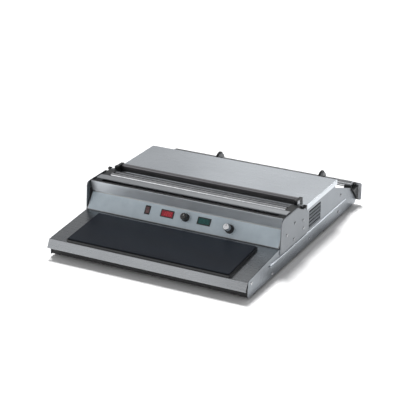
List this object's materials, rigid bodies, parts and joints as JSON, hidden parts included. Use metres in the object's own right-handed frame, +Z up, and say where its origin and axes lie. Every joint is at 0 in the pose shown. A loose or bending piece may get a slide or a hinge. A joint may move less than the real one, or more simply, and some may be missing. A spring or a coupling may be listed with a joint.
{
  "type": "tray wrapping machine",
  "caption": "Low bench machine for wrapping food trays: sloping front with a hot plate, control panel, film guide rods, heated cutter bar, flat table and an open rear cradle for a film roll.",
  "frame": {"origin": "on the surface that the feet stand on, under the middle of the whole machine's outline", "axes": "+X to the operator's right, +Y from the front lip to the rear bay, +Z up"},
  "size_m": [0.514, 0.6194, 0.1252],
  "materials": {
    "side_steel": "fine vertical brushing",
    "table_steel": "fine brushing along X",
    "inner_steel": "mill finish",
    "screw_steel": "bright domed heads",
    "panel_steel": "fine brushing",
    "panel_film": "smooth printed film, pale blue-grey",
    "roller_chrome": "polished",
    "axle_steel": "turned",
    "bush_plastic": "turned, off-white",
    "foot_rubber": "moulded, matt",
    "ring_rubber": "moulded, matt",
    "stop_hub": "turned, dark",
    "hot_plate_coat": "smooth non-stick coat, dark blue-grey",
    "black_frame": "satin black",
    "black_block": "machined, satin black",
    "cutter_metal": "dark, smooth",
    "heater_element": "heat-stained",
    "insulation": "pressed fibre",
    "black_plastic": "moulded",
    "rocker_plastic": "moulded",
    "silver_cap": "turned and ribbed",
    "red_lens": "tinted window, deep red",
    "green_lens": "tinted window, dark green",
    "pot_metal": "pressed tin",
    "circuit_board": "varnished laminate",
    "core_steel": "laminated core, varnished"
  },
  "bodies": {
    "housing": {"arm_end_plates": "side_steel", "base_pan": "inner_steel", "black_potentiometer": "pot_metal", "cheek_plate_left": "side_steel", "cheek_plate_right": "side_steel", "control_board": "circuit_board", "control_panel": "panel_steel", "cradle_axle": "axle_steel", "cutter_bar": "cutter_metal", "cutter_caps": "screw_steel", "cutter_heater": "heater_element", "cutter_posts": "black_block", "end_block_left": "black_block", "end_block_right": "black_block", "fascia": "table_steel", "feet": "foot_rubber", "film_rest_bar": "inner_steel", "film_rod": "roller_chrome", "foot_screws": "screw_steel", "front_tray": "table_steel", "green_bezel": "black_plastic", "green_window": "green_lens", "guide_axle": "axle_steel", "heater_mat": "heater_element", "hot_plate": "hot_plate_coat", "hot_plate_screws": "screw_steel", "hot_plate_skirt": "black_frame", "inner_deck": "inner_steel", "insulation_pad": "insulation", "panel_overlay": "panel_film", "power_inlet": "black_plastic", "rear_channel": "inner_steel", "rear_panel": "inner_steel", "red_bezel": "black_plastic", "red_window": "red_lens", "saddle_block_left": "black_block", "saddle_block_right": "black_block", "side_plate_left": "side_steel", "side_plate_right": "side_steel", "side_screws": "screw_steel", "silver_potentiometer": "pot_metal", "switch_frame": "black_plastic", "terminal_block": "black_plastic", "top_table": "table_steel", "transformer": "core_steel"},
    "rocker": {"switch_rocker": "rocker_plastic"},
    "black_dial": {"black_knob": "black_plastic", "black_spindle": "axle_steel"},
    "silver_dial": {"silver_knob": "silver_cap", "silver_knob_skirt": "black_plastic", "silver_spindle": "axle_steel"},
    "guide_roll": {"guide_roller": "roller_chrome", "guide_bushes": "bush_plastic"},
    "front_cradle_roll": {"cradle_roller": "roller_chrome", "cradle_bushes": "bush_plastic"},
    "rear_cradle_roll": {"stop_roller": "roller_chrome"},
    "left_stop": {"film_stop_left": "stop_hub", "stop_ring_left": "ring_rubber"},
    "right_stop": {"film_stop_right": "stop_hub", "stop_ring_right": "ring_rubber"}
  },
  "joints": [
    {"name": "rocker_tilt", "type": "hinge", "parent": "housing", "child": "rocker", "pos_m": [-0.0905, -0.12608, 0.07879], "axis": [1, 0, 0], "range_deg": [-18, 0]},
    {"name": "black_dial_turn", "type": "hinge", "parent": "housing", "child": "black_dial", "pos_m": [0.007, -0.12583, 0.07862], "axis": [0, -0.8193, 0.5733], "range_deg": [-140, 140]},
    {"name": "silver_dial_turn", "type": "hinge", "parent": "housing", "child": "silver_dial", "pos_m": [0.118, -0.1287, 0.07452], "axis": [0, -0.8193, 0.5733], "range_deg": [-140, 140]},
    {"name": "guide_roll_spin", "type": "hinge", "parent": "housing", "child": "guide_roll", "pos_m": [0, -0.06031, 0.1155], "axis": [1, 0, 0], "continuous": true},
    {"name": "front_cradle_spin", "type": "hinge", "parent": "housing", "child": "front_cradle_roll", "pos_m": [0, 0.20719, 0.0592], "axis": [1, 0, 0], "continuous": true},
    {"name": "rear_cradle_spin", "type": "hinge", "parent": "housing", "child": "rear_cradle_roll", "pos_m": [0, 0.28869, 0.0562], "axis": [1, 0, 0], "continuous": true},
    {"name": "left_stop_slide", "type": "slide", "parent": "rear_cradle_roll", "child": "left_stop", "axis": [1, 0, 0], "range_m": [-0.1, 0.1]},
    {"name": "right_stop_slide", "type": "slide", "parent": "rear_cradle_roll", "child": "right_stop", "axis": [1, 0, 0], "range_m": [-0.15, 0.055]}
  ]
}
